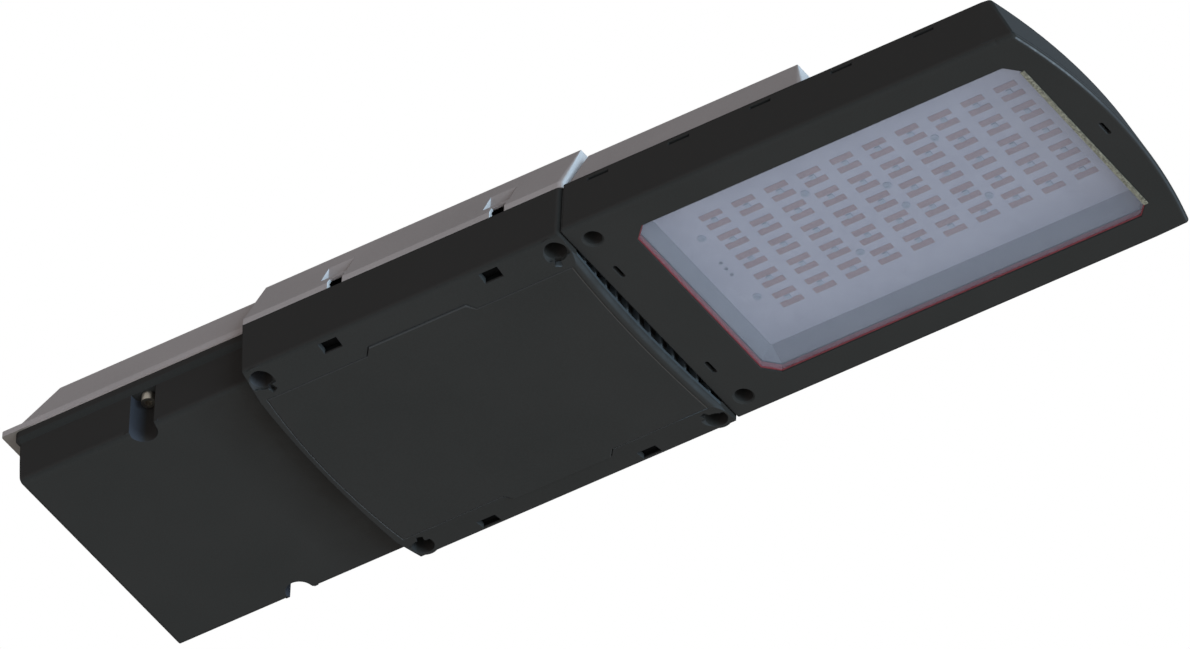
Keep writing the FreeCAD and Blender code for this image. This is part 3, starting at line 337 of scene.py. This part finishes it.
plainLooks = {
    "stainless": {"scale": 300.0, "stretch": (1.0, 1.0, 0.1), "colorLow": (0.24, 0.21, 0.175),
                  "colorHigh": (0.34, 0.31, 0.265), "roughLow": 0.35, "roughHigh": 0.45, "metallic": 1.0},
    "galvanised": {"scale": 120.0, "colorLow": (0.45, 0.46, 0.47), "colorHigh": (0.62, 0.63, 0.64),
                   "roughLow": 0.3, "roughHigh": 0.5, "metallic": 1.0},
    "black_rubber": {"scale": 250.0, "colorLow": (0.012, 0.012, 0.012), "colorHigh": (0.02, 0.02, 0.02),
                     "roughLow": 0.6, "roughHigh": 0.8},
    "black_plastic": {"scale": 350.0, "colorLow": (0.01, 0.01, 0.01), "colorHigh": (0.016, 0.016, 0.016),
                      "roughLow": 0.45, "roughHigh": 0.6},
    "latch": {"scale": 350.0, "colorLow": (0.003, 0.003, 0.003), "colorHigh": (0.005, 0.005, 0.005),
              "roughLow": 0.6, "roughHigh": 0.7, "specular": 0.05},
    "driver_case": {"scale": 200.0, "colorLow": (0.5, 0.5, 0.48), "colorHigh": (0.6, 0.6, 0.58),
                    "roughLow": 0.4, "roughHigh": 0.55},
    "surge_case": {"scale": 200.0, "colorLow": (0.08, 0.1, 0.12), "colorHigh": (0.12, 0.14, 0.16),
                   "roughLow": 0.4, "roughHigh": 0.55},
    "terminal": {"scale": 200.0, "colorLow": (0.62, 0.62, 0.58), "colorHigh": (0.72, 0.72, 0.68),
                 "roughLow": 0.35, "roughHigh": 0.5},
    "glass": {"scale": 30.0, "colorLow": (0.36, 0.39, 0.49), "colorHigh": (0.4, 0.43, 0.53),
              "roughLow": 0.06, "roughHigh": 0.1, "alpha": 0.22, "bump": 0.02},
    "silicone_red": {"scale": 400.0, "colorLow": (0.19, 0.042, 0.05), "colorHigh": (0.26, 0.064, 0.072),
                     "roughLow": 0.6, "roughHigh": 0.75, "specular": 0.1},
    "strip": {"scale": 800.0, "colorLow": (0.03, 0.028, 0.018), "colorHigh": (0.31, 0.3, 0.23),
              "roughLow": 0.5, "roughHigh": 0.65},
    "baffle": {"scale": 150.0, "colorLow": (0.13, 0.143, 0.157), "colorHigh": (0.16, 0.173, 0.187),
               "roughLow": 0.4, "roughHigh": 0.55},
    "board": {"scale": 120.0, "colorLow": (0.385, 0.39, 0.455), "colorHigh": (0.435, 0.44, 0.51),
              "roughLow": 0.35, "roughHigh": 0.5},
    "copper": {"scale": 500.0, "colorLow": (0.23, 0.13, 0.12), "colorHigh": (0.31, 0.185, 0.165),
               "roughLow": 0.35, "roughHigh": 0.5},
    "chip": {"scale": 500.0, "colorLow": (0.28, 0.33, 0.39), "colorHigh": (0.33, 0.38, 0.44),
             "roughLow": 0.4, "roughHigh": 0.55},
    "solder": {"scale": 500.0, "colorLow": (0.1, 0.12, 0.16), "colorHigh": (0.14, 0.16, 0.2),
               "roughLow": 0.4, "roughHigh": 0.55},
    "screw_grey": {"scale": 500.0, "colorLow": (0.26, 0.3, 0.36), "colorHigh": (0.3, 0.34, 0.4),
                   "roughLow": 0.5, "roughHigh": 0.65, "specular": 0.05},
}
coatLooks = {
    "adapter_paint": adapterLook, "compartment_paint": compartmentLook, "dark_plate": plateLook,
    "nose_paint": noseLook, "front_cover_paint": frontCoverLook, "rear_cover_paint": rearCoverLook,
}
# nodes that don't take the material of their slot's name
ownMaterial = {
    "rear_housing": "adapter_paint", "rear_cover": "rear_cover_paint",
    "driver_housing": "compartment_paint", "driver_cover": "front_cover_paint",
    "module_body": "nose_paint", "module_cover": "front_cover_paint",
    "plate_latches": "latch", "wire_pads": "solder", "board_screws": "screw_grey",
}
materials = {name: plainCoat(name, look) for name, look in plainLooks.items()}
materials.update({name: powderCoat(name, look) for name, look in coatLooks.items()})
slotOf = {part["node"]: part["material_slot"] for part in frame["record"]["subparts"]}
for node, thing in frame["nodes"].items():
    thing.data.materials.clear()
    thing.data.materials.append(materials[ownMaterial.get(node, slotOf[node])])
print("materials:", len(materials))

# the light head is seen from below, so the floor lies far under the camera and gives it next to no light
floorLook = {
    "height": -44.0, "size": 160.0, "color": (0.86, 0.87, 0.88), "darker": 0.97,
    "noiseScale": 0.5, "roughness": 0.9,
}


def makeFloor(look):
    mesh = bpy.data.meshes.new("floor")
    shape = bmesh.new()
    bmesh.ops.create_grid(shape, x_segments=1, y_segments=1, size=look["size"] / 2)
    bmesh.ops.translate(shape, verts=shape.verts, vec=(0.0, 0.0, look["height"]))
    shape.to_mesh(mesh)
    shape.free()
    floor = bpy.data.objects.new("floor", mesh)
    bpy.context.collection.objects.link(floor)
    material, tree, shader, coordinates = newMaterial("floorPaint")
    darker = tuple(look["darker"] * value for value in look["color"])
    color = mixColors(tree, addNoise(tree, coordinates, look["noiseScale"]), darker, look["color"])
    tree.links.new(color, shader.inputs["Base Color"])
    shader.inputs["Roughness"].default_value = look["roughness"]
    mesh.materials.append(material)


makeFloor(floorLook)
print("floor ready")

worldLook = {"seenColor": (1.0, 1.0, 1.0), "lightColor": (0.95, 0.98, 1.0), "lightStrength": 0.26}


def addBackground(tree, color, strength=1.0):
    background = tree.nodes.new("ShaderNodeBackground")
    background.inputs["Color"].default_value = (*color, 1.0)
    background.inputs["Strength"].default_value = strength
    return background.outputs["Background"]


def makeWorld(look):
    # white where it is seen, straight, mirrored or through glass, and a soft grey light for everything else
    world = bpy.data.worlds.new("studio")
    bpy.context.scene.world = world
    world.use_nodes = True
    tree = world.node_tree
    tree.nodes.clear()
    output = tree.nodes.new("ShaderNodeOutputWorld")
    path = tree.nodes.new("ShaderNodeLightPath").outputs
    seen = combine(tree, "MAXIMUM", path["Is Glossy Ray"], path["Is Transmission Ray"])
    seen = combine(tree, "MAXIMUM", path["Is Camera Ray"], seen)
    mix = tree.nodes.new("ShaderNodeMixShader")
    factor, unseenLight, seenLight = mix.inputs
    tree.links.new(seen, factor)
    tree.links.new(addBackground(tree, look["lightColor"], look["lightStrength"]), unseenLight)
    tree.links.new(addBackground(tree, look["seenColor"]), seenLight)
    tree.links.new(mix.outputs["Shader"], output.inputs["Surface"])


makeWorld(worldLook)
print("world ready")

lightLook = {
    "noseCool": {
        "from": (1.0, -0.25, -0.4), "distance": 4.0, "spread": 50.0, "power": 4.2, "color": (0.68, 0.86, 1.0),
    },
    "above": {
        "from": (-0.3, 0.7, 1.0), "distance": 4.0, "spread": 30.0, "power": 2.8, "color": (1.0, 1.0, 1.0),
    },
}


def addSoftLight(name, look):
    # shines evenly from one side of the studio, as soft as its spread in degrees
    data = bpy.data.lights.new(name, "SUN")
    data.energy = look["power"]
    data.color = look["color"]
    data.angle = math.radians(look["spread"])
    lamp = bpy.data.objects.new(name, data)
    bpy.context.collection.objects.link(lamp)
    away = Vector(look["from"]).normalized()
    lamp.location = away * look["distance"]
    lamp.rotation_mode = "QUATERNION"
    lamp.rotation_quaternion = away.to_track_quat("Z", "Y")


for name, look in lightLook.items():
    addSoftLight(name, look)
print("lamps:", len(lightLook))

# the azimuth turns from -Y towards +X, a negative elevation is a view from below, and lengths are in metres
cameraLook = {
    "azimuth": 35.931, "elevation": -43.059, "roll": 2.836, "distance": 19.5, "pictureWidth": 0.7769,
    "acrossShift": -0.03625, "upShift": 0.00078, "depth": -0.045, "aimPoint": (0.4383, 0.0, -0.04),
    "sensorMillimetres": 36.0, "clipStart": 0.5, "clipEnd": 60.0,
}


def addCamera(look):
    azimuth, elevation, roll = (math.radians(look[key]) for key in ("azimuth", "elevation", "roll"))
    back = Vector((math.sin(azimuth) * math.cos(elevation), -math.cos(azimuth) * math.cos(elevation),
                   math.sin(elevation)))
    level = Vector((math.cos(azimuth), math.sin(azimuth), 0.0))
    upward = back.cross(level)
    right = math.cos(roll) * level + math.sin(roll) * upward
    up = math.cos(roll) * upward - math.sin(roll) * level
    data = bpy.data.cameras.new("camera")
    data.sensor_fit = "HORIZONTAL"
    data.sensor_width = look["sensorMillimetres"]
    data.lens = look["sensorMillimetres"] * look["distance"] / look["pictureWidth"]
    data.clip_start, data.clip_end = look["clipStart"], look["clipEnd"]
    camera = bpy.data.objects.new("camera", data)
    bpy.context.collection.objects.link(camera)
    aim = Vector(look["aimPoint"]) + right * look["acrossShift"] + up * look["upShift"] + back * look["depth"]
    camera.rotation_mode = "QUATERNION"
    camera.rotation_quaternion = Matrix((right, up, back)).transposed().to_quaternion()
    camera.location = aim + back * look["distance"]
    bpy.context.scene.camera = camera


addCamera(cameraLook)
bpy.context.scene.view_settings.view_transform = "Standard"
print("camera ready")
